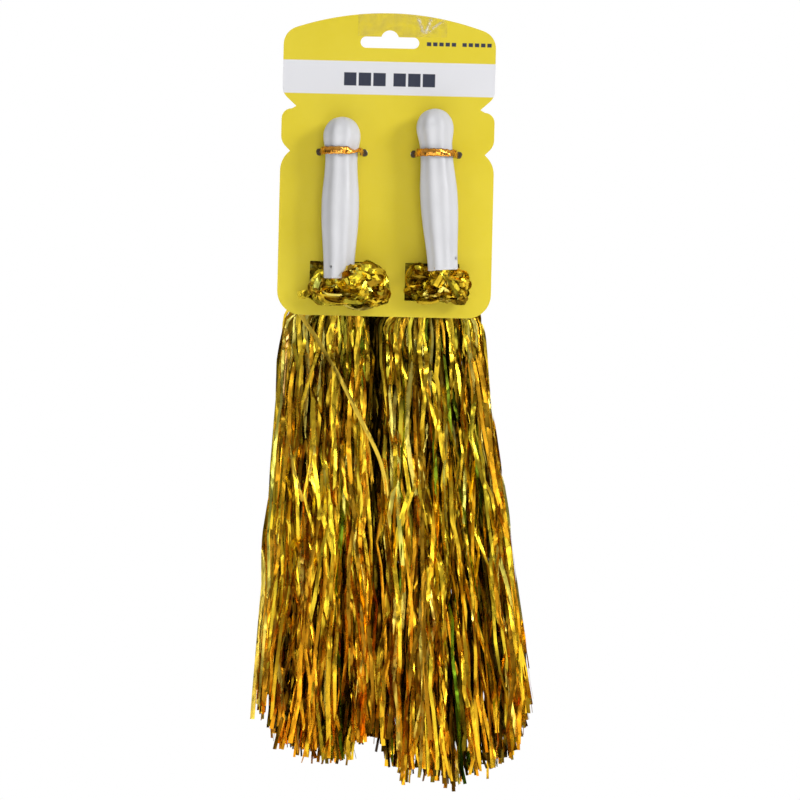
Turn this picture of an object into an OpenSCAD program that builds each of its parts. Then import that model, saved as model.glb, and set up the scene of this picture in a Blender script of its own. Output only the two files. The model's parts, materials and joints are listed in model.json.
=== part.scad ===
// Carded pair of cheerleading pom poms. Two fluted club handles are tied to a header card
// by twist ties, and a tassel of slit metallised film hangs from each handle, through a
// window in the card. Millimetres, +Z up, the card's printed face looks along -Y, and the
// origin lies on the axis of the hang slot's hump, halfway through the card.

/* [Card] */
// Width of the main panel
card_w = 116.8; // [114:0.2:124]
// Height of the arched top above the hump's axis
card_top = 14.2; // [13:0.1:18]
// Depth of the lower edge below the hump's axis
card_bottom = 151.5; // [151:0.5:152]
// Thickness of the board
card_t = 0.8; // [0.6:0.1:1]
// Radius of the arched top
arch_r = 157; // [120:1:250]
// Radius of the corners at the lower edge
corner_r = 13; // [6:1:18]

/* [Hang slot] */
// Radius of the hump that the peg sits in
hump_r = 4.9; // [4.6:0.1:5.2]
// Overall width of the slot
slot_w = 32; // [28:0.5:34]
// Height of the slot beside the hump
slot_h = 6.2; // [5.6:0.1:6.4]

/* [Windows and tie holes] */
// Width of each window
window_w = 29.6; // [28:0.2:31]
// Height of each window
window_h = 20.6; // [20:0.2:22]
// Distance of each window's centre from the middle of the card
window_x = 26; // [25.5:0.1:26.5]
// Depth of the windows' centre below the hump's axis
window_z = 132.2; // [131.8:0.1:132.6]
// Depth of the tie holes below the hump's axis
tie_z = 62.4; // [62:0.1:63]
// Distance between the two holes of a pair
tie_span = 24.3; // [23.8:0.1:25]
// Diameter of a tie hole
tie_hole_d = 3.8; // [3.4:0.1:4.2]

/* [Handle] */
// Distance of each ball end from the middle of the card
handle_x = 24.8; // [24.4:0.1:25.4]
// Length of a handle
handle_l = 88; // [87:0.5:89]
// Radius of the ball end
ball_r = 10.6; // [10.3:0.1:10.7]
// Radius of the neck
neck_r = 9.2; // [9:0.1:9.3]
// Radius of the swollen middle
belly_r = 10.7; // [10.4:0.1:10.8]
// Radius of the lower end
end_r = 8.6; // [8.3:0.1:8.8]
// Radius of the socket and of the hollow above it
socket_r = 6.8; // [6.6:0.1:6.9]
// Number of flutes
flutes = 8; // [6:1:10]
// Depth of a flute at the swollen middle
flute_depth = 0.9; // [0.5:0.1:1]
// Lean of the right handle, lower end away from the middle of the card
right_lean = 4.55; // [3:0.1:5]

/* [Twist tie] */
// Width of the foil ribbon
ribbon_w = 4.2; // [3:0.1:4.6]
// Diameter of the wire core
wire_d = 0.5; // [0.4:0.05:0.6]

/* [Tassels] */
// Front to back thickness of a lock at its hinge
lock_t = 12; // [10:0.5:12]
// Front to back thickness of a lock at its tips
tip_t = 26; // [20:1:30]
// Gap between two neighbouring locks
lock_gap = 0.8; // [0.6:0.1:1.2]

/* [Hidden] */
$fn = 48;

cut = 1;                    // how far a cutter runs past the face it cuts
clear = 0.3;                // gap between pieces that move past each other
left = -1;
right = 1;
locks = 5;                  // locks of strips in each tassel, side by side

board_yellow = [0.86, 0.78, 0.25];
clear_film = [0.93, 0.9, 0.7, 0.4];
copper_foil = [0.78, 0.45, 0.12];
steel = [0.6, 0.6, 0.62];
white_plastic = [0.9, 0.9, 0.92];
gold_foil = [0.8, 0.62, 0.2];
dark_gold = [0.55, 0.4, 0.1];

// Card outline
card_half = card_w / 2;
upper_half = card_half - 0.4;
lobe_half = card_half - 0.2;
shoulder_r = 10;
upper_notch = [50.3, -37.5];
lower_notch = [53.2, -62.1];
upper_corner = [8, -27];     // radius, and height at which the upper panel's side starts to turn in
lobe_corner = [5.5, -44.4];
lobe_foot = [8, -53.8];
panel_shoulder = [13.5, -72.8];

// Clear tape over the top edge
tape_x = [-17.5, 31.2];
tape_low = 1.6;
film_t = 0.08;
film_gap = 0.03;

// Handle stations, as distances below the top of the ball
ball_s = 10.6;
neck_s = [21, 24];
belly_s = [48, 50];
pin_s = handle_l - 6;
root_s = handle_l - 24;
flute_facets = 6;
ball_wall = 1.8;
pin_r = 0.8;
pin_inset = 0.7;            // how far the pin's ends lie inside the handle's lower radius
pin_hole_r = 0.85;
root_r = socket_r - 0.15;
binding_s = root_s + 4;
binding_wire_r = 0.4;
binding_turns = 3;

handle_y = -(card_t / 2 + clear + max(belly_r, ball_r));
left_top = [-handle_x, -43.5];
right_top = [handle_x, -38.1];
left_pin_turn = 30;
right_pin_turn = -60;

// Twist ties, each level with a handle's neck and centred on it
tie_x = [left_top.x, right_top.x + (tie_z + right_top.y) * tan(right_lean)];
ribbon_t = 0.9;
ribbon_r = neck_r + 0.9 + ribbon_t / 2;
core_gap = 0.06;
tail_l = 16;
tail_turns = 4;
tail_y = card_t / 2 + 1.2;

// Tassels, left side first where the two sides differ
hinge_y = 7;
neck_y = [1.4, 12.6];
neck_top = -120;
neck_foot = -151.2;
hinge_z = neck_foot - 1.3 - lock_t / 2;
tassel_top = [[-54, -4.6], [-2.6, 55]];
tassel_foot = [[-67, -0.2], [1.2, 86]];
foot_z = -370;
left_tips = [-386, -393, -397, -394, -384];
right_tips = [-398, -406, -410, -408, -399];

function side_index(side) = side < 0 ? 0 : 1;
function tie_centre(side) = tie_x[side_index(side)];
function arc(c, r, from, to, n) = [
    for (i = [0:n]) let (a = from + (to - from) * i / n) c + r * [cos(a), sin(a)]
];
function ease(t) = (1 - cos(180 * t)) / 2;
function mirror_points(p) = [for (i = [len(p) - 1:-1:0]) [-p[i].x, p[i].y]];

// ---------------------------------------------------------------- card

arch_centre = [0, card_top - arch_r];
shoulder_x = upper_half - shoulder_r;
shoulder_c = [
    shoulder_x,
    arch_centre.y + sqrt(pow(arch_r - shoulder_r, 2) - pow(shoulder_x, 2))
];
shoulder_a = atan2(shoulder_c.y - arch_centre.y, shoulder_x);

// Right half of the outline in X and Z, from the top of the arch down to the lower edge
card_side = concat(
    arc(arch_centre, arch_r, 90, shoulder_a, 16),
    arc(shoulder_c, shoulder_r, shoulder_a, 0, 8),
    arc([upper_half - upper_corner[0], upper_corner[1]], upper_corner[0], 0, -48, 5),
    [upper_notch],
    arc([lobe_half - lobe_corner[0], lobe_corner[1]], lobe_corner[0], 90, 0, 6),
    arc([lobe_half - lobe_foot[0], lobe_foot[1]], lobe_foot[0], 0, -45, 5),
    [lower_notch],
    arc([card_half - panel_shoulder[0], panel_shoulder[1]], panel_shoulder[0], 50, 0, 7),
    arc([card_half - corner_r, corner_r - card_bottom], corner_r, 0, -90, 9)
);

// Turns a flat X-Z shape into a slab between two depths
module slab(y_from, y_to) {
    translate([0, y_to, 0])
        rotate([90, 0, 0])
            linear_extrude(y_to - y_from)
                children();
}

module hole_y(x, z, r, depth) {
    translate([x, 0, z])
        rotate([90, 0, 0])
            cylinder(r = r, h = depth, center = true);
}

// The hang slot as a cutter: a round hump over a slot with round ends
module slot_cutter(extra = 0) {
    side_r = slot_h / 2 + extra;
    side_x = slot_w / 2 - slot_h / 2;
    slot_mid = slot_h / 2 - hump_r;
    depth = card_t + 2 * cut;
    hole_y(0, 0, hump_r + extra, depth);
    for (side = [left, right])
        hole_y(side * side_x, slot_mid, side_r, depth);
    translate([0, 0, slot_mid])
        cube([2 * side_x, depth, 2 * side_r], center = true);
}

module header_card() {
    color(board_yellow)
        difference() {
            slab(-card_t / 2, card_t / 2)
                polygon(concat(card_side, mirror_points(card_side)));
            slot_cutter();
            for (side = [left, right]) {
                for (end = [-1, 1])
                    hole_y(tie_centre(side) + end * tie_span / 2, -tie_z, tie_hole_d / 2, card_t + 2 * cut);
                translate([side * window_x, 0, -window_z])
                    cube([window_w, card_t + 2 * cut, window_h], center = true);
            }
        }
}

// Region under the arch between the tape's two sides, grown by extra past the arch and by past
// beyond the sides
module tape_region(extra, low, past = 0) {
    x = [tape_x[0] - past, tape_x[1] + past];
    r = arch_r + extra;
    polygon(concat(
        arc(arch_centre, r, acos(x[1] / r), acos(x[0] / r), 24),
        [[x[0], low], [x[1], low]]
    ));
}

module hang_tape() {
    outer = card_t / 2 + film_gap + film_t;
    inner = card_t / 2 + film_gap;
    color(clear_film)
        difference() {
            slab(-outer, outer) tape_region(film_gap + film_t, tape_low);
            slab(-inner, inner) tape_region(film_gap, tape_low - cut, cut);
            slot_cutter(0.4);
        }
}

// ---------------------------------------------------------------- twist ties

tie_mouth = [tie_span / 2, -0.9];
tie_reach = norm([tie_mouth.x, tie_mouth.y - handle_y]);
tie_touch = atan2(tie_mouth.y - handle_y, tie_mouth.x) - acos(ribbon_r / tie_reach);

// Centre line in X and Y from hole to hole: straight to the neck, round its front, and back
loop_path = concat(
    [tie_mouth],
    arc([0, handle_y], ribbon_r, tie_touch, -180 - tie_touch, 24),
    [[-tie_mouth.x, tie_mouth.y]]
);
// The wire goes on through the holes and meets itself behind the card
wire_path = concat(
    [[wire_d / 2, tail_y], [tie_mouth.x - 0.4, tail_y], [tie_mouth.x, tail_y - 0.4]],
    loop_path,
    [[-tie_mouth.x, tail_y - 0.4], [0.4 - tie_mouth.x, tail_y], [-wire_d / 2, tail_y]]
);

function path_normal(p, i) = let (
    a = p[max(i - 1, 0)],
    b = p[min(i + 1, len(p) - 1)],
    t = (b - a) / norm(b - a)
) [-t.y, t.x];
function beside(p, d) = [for (i = [0:len(p) - 1]) p[i] + d * path_normal(p, i)];
function backwards(p) = [for (i = [len(p) - 1:-1:0]) p[i]];

module band(thickness, width) {
    translate([0, 0, -width / 2])
        linear_extrude(width)
            polygon(concat(
                beside(loop_path, thickness / 2),
                backwards(beside(loop_path, -thickness / 2))
            ));
}

// A skin of triangles over rings of points, closed at both ends. Each ring has the same count
// and runs clockwise as seen along the way from the first ring to the last.
module ring_skin(rings) {
    n = len(rings[0]);
    last = len(rings) - 1;
    sides = [
        for (i = [0:last - 1], k = [0:n - 1]) let (a = i * n, m = (k + 1) % n)
            each [[a + k, a + n + k, a + m], [a + m, a + n + k, a + n + m]]
    ];
    polyhedron(
        points = [for (ring = rings) each ring],
        faces = concat([[for (k = [0:n - 1]) k]], sides, [[for (k = [n - 1:-1:0]) last * n + k]])
    );
}

// The wire: a round section carried along its path, and the two ends twisted into a tail
module tie_wire(side) {
    sides = 8;
    tail_rings = 28;
    tail_top = wire_d * 0.37;
    color(steel)
        translate([tie_centre(side), 0, -tie_z]) {
            ring_skin([for (i = [0:len(wire_path) - 1]) let (n = path_normal(wire_path, i)) [
                for (k = [0:sides - 1]) let (
                    a = 360 * k / sides,
                    p = wire_path[i] + wire_d / 2 * cos(a) * n
                ) [p.x, p.y, -wire_d / 2 * sin(a)]
            ]]);
            ring_skin([for (i = [0:tail_rings]) [
                for (k = [0:sides - 1]) let (
                    a = 360 * (k + 0.3) / sides,
                    b = 360 * tail_turns * i / tail_rings + 7,
                    u = wire_d * 0.96 * cos(a),
                    v = wire_d * 0.52 * sin(a),
                    z = tail_top - tail_l * i / tail_rings
                ) [u * cos(b) - v * sin(b), tail_y + u * sin(b) + v * cos(b), z]
            ]]);
        }
}

// Two layers of foil joined along their edges, with the channel that the wire runs in
module tie_ribbon(side) {
    color(copper_foil)
        translate([tie_centre(side), 0, -tie_z])
            difference() {
                band(ribbon_t, ribbon_w);
                band(wire_d + core_gap, wire_d + core_gap);
            }
}

// ---------------------------------------------------------------- handles

// Outer radius of the handle at a distance s below the top of the ball
function handle_r(s) =
    s < ball_s ? ball_r * sqrt(max(0, 1 - pow((ball_s - s) / ball_s, 2))) :
    s < neck_s[0] ? ball_r + (neck_r - ball_r) * ease((s - ball_s) / (neck_s[0] - ball_s)) :
    s < neck_s[1] ? neck_r :
    s < belly_s[0] ? neck_r + (belly_r - neck_r) * ease((s - neck_s[1]) / (belly_s[0] - neck_s[1])) :
    s < belly_s[1] ? belly_r :
    belly_r + (end_r - belly_r) * ease((s - belly_s[1]) / (handle_l - belly_s[1]));

// Depth of the flutes: they fade out over the top of the ball and thin down along the neck
function flute_at(s) =
    flute_depth * ease(min(1, max(0, (s - 1) / (ball_s - 1)))) * (0.45 + 0.55 * handle_r(s) / belly_r);
function handle_ring(s) = [
    for (k = [0:flutes * flute_facets - 1]) let (
        a = 360 * k / (flutes * flute_facets),
        r = handle_r(s) - flute_at(s) * (1 + cos(flutes * a)) / 2
    ) [r * sin(a), -r * cos(a), -s]
];
ball_stations = [for (a = [12:13:90]) ball_s * (1 - cos(a))];
body_stations = [for (i = [0:26]) ball_s + 2 + (handle_l - ball_s - 2) * i / 26];

// Places a piece that is drawn with the handle's axis on Z and the ball's top at zero
module on_handle(side) {
    top = side < 0 ? left_top : right_top;
    lean = side < 0 ? 0 : -right_lean;
    translate([top.x, handle_y, top.y])
        rotate([0, lean, 0])
            children();
}

module pin_at(side, r, reach) {
    turn = side < 0 ? left_pin_turn : right_pin_turn;
    translate([0, 0, -pin_s])
        rotate([90, 0, -turn])
            cylinder(r = r, h = 2 * reach, center = true, $fn = 32);
}

module handle(side) {
    color(white_plastic)
        on_handle(side)
            difference() {
                ring_skin([for (s = concat(ball_stations, body_stations)) handle_ring(s)]);
                translate([0, 0, -ball_s]) sphere(r = ball_r - ball_wall);
                translate([0, 0, -handle_l - cut]) cylinder(r = socket_r, h = handle_l + cut - ball_s);
                pin_at(side, pin_hole_r, 2 * end_r);
            }
}

module retaining_pin(side) {
    color(steel)
        on_handle(side)
            pin_at(side, pin_r, end_r - pin_inset);
}

// The strips are folded over at their middles and rolled into a plug that fills the socket
module foil_root(side) {
    groove_h = binding_turns * 2 * binding_wire_r + 0.3;
    color(dark_gold)
        on_handle(side)
            difference() {
                translate([0, 0, -handle_l + 0.5])
                    cylinder(r = root_r, h = handle_l - root_s - 0.5);
                translate([0, 0, -binding_s - groove_h / 2])
                    difference() {
                        cylinder(r = root_r + cut, h = groove_h);
                        translate([0, 0, -cut])
                            cylinder(r = root_r - 2 * binding_wire_r - 0.1, h = groove_h + 2 * cut);
                    }
                pin_at(side, pin_hole_r, 2 * end_r);
            }
}

module root_binding(side) {
    pitch = 2 * binding_wire_r + 0.05;
    color(steel)
        on_handle(side)
            for (i = [0:binding_turns - 1])
                translate([0, 0, -binding_s + (i - (binding_turns - 1) / 2) * pitch])
                    rotate_extrude()
                        translate([root_r - binding_wire_r, 0])
                            circle(r = binding_wire_r, $fn = 16);
}

// ---------------------------------------------------------------- strips

// Rounded mass through the given ball centres and radii, [x, y, z, r]
module blob(balls) {
    hull()
        for (b = balls)
            translate([b[0], b[1], b[2]])
                sphere(r = b[3], $fn = 20);
}

// Where the strips pass through a window, flush with its edges but for a small gap
module window_plug(side) {
    gap = 0.4;
    depth = [-2, neck_y[0] - 0.5];
    translate([side * window_x, (depth[0] + depth[1]) / 2, -window_z])
        cube([window_w - 2 * gap, depth[1] - depth[0], window_h - 2 * gap], center = true);
}

module left_foil_bunch() {
    color(gold_foil) {
        window_plug(left);
        blob([[-33, -7.6, -138, 5.6], [-18, -8, -139.5, 6.4], [-10, -8.6, -141, 6.8]]);
        blob([[-8, -8.2, -128, 7.2], [-4.4, -7.4, -136, 6.6], [-9, -7.4, -142, 5.8]]);
    }
}

module right_foil_bunch() {
    color(gold_foil) {
        window_plug(right);
        blob([[19, -7, -136.2, 5.6], [30, -7.8, -135.8, 6.2], [38.6, -7, -135.6, 5.8]]);
        blob([[16.6, -5, -127.4, 3.6], [17.8, -6, -136, 4.8]]);
    }
}

// Strips gathered behind the card, from the window down to the card's lower edge
module foil_neck(side) {
    top = tassel_top[side_index(side)];
    color(gold_foil)
        slab(neck_y[0], neck_y[1])
            polygon([
                [side * window_x - window_w / 2, neck_top],
                [side * window_x + window_w / 2, neck_top],
                [top[1], neck_foot],
                [top[0], neck_foot]
            ]);
}

// One lock of hanging strips. Its top is rounded about the line it folds on.
module lock(side, i) {
    top = tassel_top[side_index(side)];
    foot = tassel_foot[side_index(side)];
    tips = side < 0 ? left_tips : right_tips;
    share = [(i - 1) / locks, i / locks];
    drop = (tips[i - 1] - hinge_z) / (foot_z - hinge_z);
    at_top = [for (t = share) top[0] + (top[1] - top[0]) * t];
    at_foot = [for (t = share) foot[0] + (foot[1] - foot[0]) * t];
    at_tip = at_top + (at_foot - at_top) * drop;
    head_z = hinge_z + lock_t / 2;
    half_gap = lock_gap / 2;
    color(i % 2 == 0 ? gold_foil : dark_gold)
        intersection() {
            slab(hinge_y - tip_t, hinge_y + tip_t)
                polygon([
                    [at_top[0] + half_gap, head_z],
                    [at_top[1] - half_gap, head_z],
                    [at_top[1] - half_gap, hinge_z],
                    [at_tip[1] - half_gap, tips[i - 1]],
                    [at_tip[0] + half_gap, tips[i - 1]],
                    [at_top[0] + half_gap, hinge_z]
                ]);
            union() {
                translate([at_tip[0] - tip_t, 0, 0])
                    rotate([90, 0, 90])
                        linear_extrude(at_tip[1] - at_tip[0] + 2 * tip_t)
                            polygon([
                                [hinge_y - lock_t / 2, hinge_z],
                                [hinge_y + lock_t / 2, hinge_z],
                                [hinge_y + tip_t / 2, tips[i - 1]],
                                [hinge_y - tip_t / 2, tips[i - 1]]
                            ]);
                translate([at_tip[0] - tip_t, hinge_y, hinge_z])
                    rotate([0, 90, 0])
                        cylinder(r = lock_t / 2, h = at_tip[1] - at_tip[0] + 2 * tip_t);
            }
        }
}

header_card();
hang_tape();
tie_ribbon(left);  // left_tie_ribbon
tie_wire(left);  // left_tie_wire
tie_ribbon(right);  // right_tie_ribbon
tie_wire(right);  // right_tie_wire
handle(left);  // left_handle
retaining_pin(left);  // left_retaining_pin
foil_root(left);  // left_foil_root
root_binding(left);  // left_root_binding
handle(right);  // right_handle
retaining_pin(right);  // right_retaining_pin
foil_root(right);  // right_foil_root
root_binding(right);  // right_root_binding
left_foil_bunch();
right_foil_bunch();
foil_neck(left);  // left_neck
foil_neck(right);  // right_neck
for (i = [1:locks]) {
    lock(left, i);
    lock(right, i);
}
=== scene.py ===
import json
import math
import random

import bpy
import numpy as np
from mathutils import Matrix, Vector


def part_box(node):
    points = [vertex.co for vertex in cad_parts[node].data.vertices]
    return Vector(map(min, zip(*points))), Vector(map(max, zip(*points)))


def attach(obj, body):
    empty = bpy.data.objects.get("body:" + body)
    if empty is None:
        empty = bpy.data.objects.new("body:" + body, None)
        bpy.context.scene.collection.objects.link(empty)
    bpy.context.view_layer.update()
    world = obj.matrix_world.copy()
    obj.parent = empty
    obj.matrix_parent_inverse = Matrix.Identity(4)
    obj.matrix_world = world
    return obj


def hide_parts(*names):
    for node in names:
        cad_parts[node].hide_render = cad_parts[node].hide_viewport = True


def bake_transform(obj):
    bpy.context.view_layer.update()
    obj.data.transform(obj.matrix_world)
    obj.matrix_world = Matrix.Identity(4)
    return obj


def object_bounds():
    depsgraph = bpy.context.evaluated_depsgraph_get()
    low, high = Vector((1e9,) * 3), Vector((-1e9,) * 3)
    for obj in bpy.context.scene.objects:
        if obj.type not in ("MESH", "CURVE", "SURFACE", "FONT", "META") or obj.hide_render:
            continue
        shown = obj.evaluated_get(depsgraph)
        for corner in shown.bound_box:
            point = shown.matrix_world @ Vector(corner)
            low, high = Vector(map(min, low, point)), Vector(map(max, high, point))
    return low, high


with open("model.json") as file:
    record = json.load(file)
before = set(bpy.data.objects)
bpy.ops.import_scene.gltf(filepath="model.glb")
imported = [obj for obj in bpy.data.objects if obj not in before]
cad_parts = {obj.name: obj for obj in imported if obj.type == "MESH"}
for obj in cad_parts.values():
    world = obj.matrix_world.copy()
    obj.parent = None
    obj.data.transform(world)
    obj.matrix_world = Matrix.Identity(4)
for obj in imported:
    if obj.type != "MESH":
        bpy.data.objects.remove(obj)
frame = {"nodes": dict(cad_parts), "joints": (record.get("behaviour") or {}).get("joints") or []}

CAD_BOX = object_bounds()
MM = 0.001
SIDES = ("left", "right")
LOCKS = 5
JOINTS = {joint["name"]: joint for joint in frame["joints"]}
UP = Vector((0, 0, 1))

CARD_LOW, CARD_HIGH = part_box("header_card")
CARD_FRONT, CARD_BACK = CARD_LOW.y, CARD_HIGH.y
FOLD_LINE = Vector(JOINTS["left_lock_1_fold"]["pos_m"])

STRIP_W = 2.6 * MM      # the widest strip of a lock
FACING_STRIPS = 24      # in each lock's front layer, and as many again at its back
CORE_STRIPS = 40        # in the shade between the two layers
NECK_STRIPS = 44        # behind the card, in each tassel
ROOT_STRIPS = 60        # ends that stand packed in each socket
HANDLE_L = 88 * MM
SOCKET_R = 6.8 * MM


# ------------------------------------------------------------------ helpers

def link(name, mesh):
    """A new object for the mesh, in the scene."""
    obj = bpy.data.objects.new(name, mesh)
    bpy.context.collection.objects.link(obj)
    return obj


def mesh_object(name, verts, faces, material, smooth=True):
    """A new object with a mesh of the points and faces given, in one material."""
    mesh = bpy.data.meshes.new(name)
    mesh.from_pydata([tuple(v) for v in verts], [], faces)
    mesh.polygons.foreach_set("use_smooth", [smooth] * len(mesh.polygons))
    mesh.materials.append(material)
    mesh.update()
    return link(name, mesh)


def ease(t):
    """A smooth rise from 0 to 1."""
    t = min(1.0, max(0.0, t))
    return (1 - math.cos(math.pi * t)) / 2


def mix(a, b, t):
    """The value a share t of the way from a to b."""
    return a + (b - a) * t


def unit(v):
    """The vectors, each scaled to a length of 1."""
    length = np.linalg.norm(v, axis=-1, keepdims=True)
    return v / np.maximum(length, 1e-12)


def eased(value, low, high, soft):
    """The value, slowed down as it nears low or high so that it never passes them."""
    over, under = value - (high - soft), (low + soft) - value
    value = np.where(over > 0, high - soft + soft * np.tanh(over / soft), value)
    return np.where(under > 0, low + soft - soft * np.tanh(under / soft), value)


def spline(points, count):
    """Points along a smooth curve through the given ones."""
    p = np.asarray(points, float)
    p = np.vstack([2 * p[0] - p[1], p, 2 * p[-1] - p[-2]])
    out = []
    spans = len(p) - 3
    for k in range(count):
        s = min(k / (count - 1) * spans, spans - 1e-9)
        i = int(s)
        t = s - i
        a, b, c, d = p[i], p[i + 1], p[i + 2], p[i + 3]
        out.append(0.5 * (2 * b + (c - a) * t + (2 * a - 5 * b + 4 * c - d) * t * t
                          + (3 * b - 3 * c + d - a) * t ** 3))
    return np.array(out)


def tangents(path):
    """The direction along the path at each of its points."""
    return unit(np.gradient(path, axis=0))


def carried_across(path, first, turns):
    """A width direction that is carried along the path, then turned about it by the angles given."""
    along = tangents(path)
    across = np.empty_like(path)
    w = np.asarray(first, float)
    for i, t in enumerate(along):
        w = w - t * np.dot(w, t)
        w = w / max(np.linalg.norm(w), 1e-9)
        normal = np.cross(t, w)
        across[i] = w * math.cos(turns[i]) + normal * math.sin(turns[i])
    return across


# ------------------------------------------------------------------ strips

class Strips:
    """Flat strips of film gathered into one mesh, each with its own tint and its own column of the map."""

    def __init__(self):
        self.verts, self.faces, self.tints, self.columns = [], [], [], []
        self.count = 0
        self.flat_width = 0.0

    def add(self, path, across, width, tint, cup=0.06):
        """One strip along path. width is one number or one for each point, and so is tint's colour.

        cup is how far the strip's middle line stands off its edges, as a share of its width.
        """
        n = len(path)
        width = np.broadcast_to(width, (n,))[:, None]
        normal = unit(np.cross(tangents(path), across))
        sideways = across * width / 2
        rings = np.stack([path - sideways, path + normal * width * cup, path + sideways], 1)
        base = len(self.verts)
        self.verts.extend(rings.reshape(-1, 3))
        for i in range(n - 1):
            a = base + 3 * i
            self.faces.append((a, a + 1, a + 4, a + 3))
            self.faces.append((a + 1, a + 2, a + 5, a + 4))
        self.tints.extend(np.repeat(np.broadcast_to(tint, (n, 3)), 3, axis=0))
        for i in range(n):
            self.columns.extend((self.count, side / 2, i / (n - 1)) for side in range(3))
        self.count += 1
        self.flat_width += float(width.mean())

    def build(self, name, material, smooth=True):
        """The strips as one object, with the tints that the foil's material reads, and a map with a column
        for each strip.
        """
        obj = mesh_object(name, self.verts, self.faces, material, smooth)
        mesh = obj.data
        colours = np.ones((len(self.verts), 4), np.float32)
        colours[:, :3] = self.tints
        tint = mesh.attributes.new("tint", "FLOAT_COLOR", "POINT")
        tint.data.foreach_set("color", colours.ravel())
        corners = np.empty(len(mesh.loops), np.int32)
        mesh.loops.foreach_get("vertex_index", corners)
        column = np.array(self.columns, float)[corners]
        uv = np.empty((len(corners), 2), np.float32)
        uv[:, 0] = (column[:, 0] + 0.08 + 0.84 * column[:, 1]) / self.count
        uv[:, 1] = 0.01 + 0.98 * column[:, 2]
        mesh.uv_layers.new(name="OFBake").data.foreach_set("uv", uv.ravel())
        return obj


TINTS = (
    # weight, colour at the top, colour at the tips
    (36, (0.88, 0.60, 0.036), (0.98, 0.55, 0.022)),
    (22, (0.84, 0.44, 0.022), (0.97, 0.40, 0.012)),
    (19, (0.60, 0.50, 0.036), (0.88, 0.58, 0.026)),
    (10, (0.36, 0.22, 0.014), (0.42, 0.18, 0.008)),
    (3, (0.26, 0.33, 0.018), (0.15, 0.30, 0.010)),
    (8, (0.95, 0.78, 0.150), (0.95, 0.66, 0.080)),
)
BUNCH_TINTS = TINTS[:1] + TINTS[2:4] + TINTS[5:]


def strip_tint(rng, share, table=TINTS):
    """One strip's colour at each share of the way from the card to the tips, with painted light that makes it
    brightest halfway down.
    """
    weight = rng.uniform(0, sum(row[0] for row in table))
    for row in table:
        weight -= row[0]
        if weight <= 0:
            break
    top, low = np.array(row[1]), np.array(row[2])
    level = rng.uniform(0.87, 1.07)
    share = np.clip(np.asarray(share, float), 0, 1)[:, None]
    # painted light: a brighter band about halfway down the strips
    painted_glow = 1 + 0.22 * np.exp(-((share - 0.42) / 0.2) ** 2)
    return np.minimum((top + (low - top) * share) * level * painted_glow, 1.0)


def crinkle(rng, count, step, slope, pull):
    """A sideways offset for each point: straight runs of a few steps with a bend between them."""
    offset, lean, left, out = 0.0, 0.0, 0, []
    for _ in range(count):
        if left == 0:
            left = rng.randint(3, 8)
            lean = rng.gauss(0, slope)
        left -= 1
        offset = (offset + lean * step) * (1 - pull)
        out.append(offset)
    return np.array(out)


def turning(rng, count, spread, jump):
    """An angle for each point: it is held for a few steps, then changes over a crease to another."""
    home = rng.gauss(0, spread)
    angle, out = home, []
    while len(out) < count:
        target = home + rng.gauss(0, jump)
        out += [mix(angle, target, 0.25), mix(angle, target, 0.75)]
        out += [target] * rng.randint(2, 7)
        angle = target
    return np.array(out[:count])


TASSEL_REACH = 20 * MM      # the furthest that a strip bows out before or behind the fold line
HEM = {
    # the line that the tips reach down to, X and Z in millimetres
    "left": (
        (-68, -367), (-61, -372), (-54, -385), (-44, -391),
        (-20, -397), (-9, -395), (-4, -383), (4, -376),
    ),
    "right": (
        (-2, -384), (8, -395), (14, -406), (28, -401), (43, -409),
        (56, -400), (70, -394), (78, -390), (83, -377), (90, -354),
    ),
}
FOLD_HALF = 5 * MM          # half the strips' spread from front to back at the fold line
START_SPREAD = 22 * MM      # width of the stretch of window that the strips start from
INWARD = 4.5 * MM           # how far a tassel reaches past its solid towards the other one
DIM_DEPTH = 9 * MM          # this far in from the tassel's outer edge the core's painted shade is at its darkest
WINDOW_REACH = 9.5 * MM     # film this near the middle of the window stays inside it as the tassel sways
CORNER_REACH = 38 * MM      # how far the card's lower corner lies from there


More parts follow.
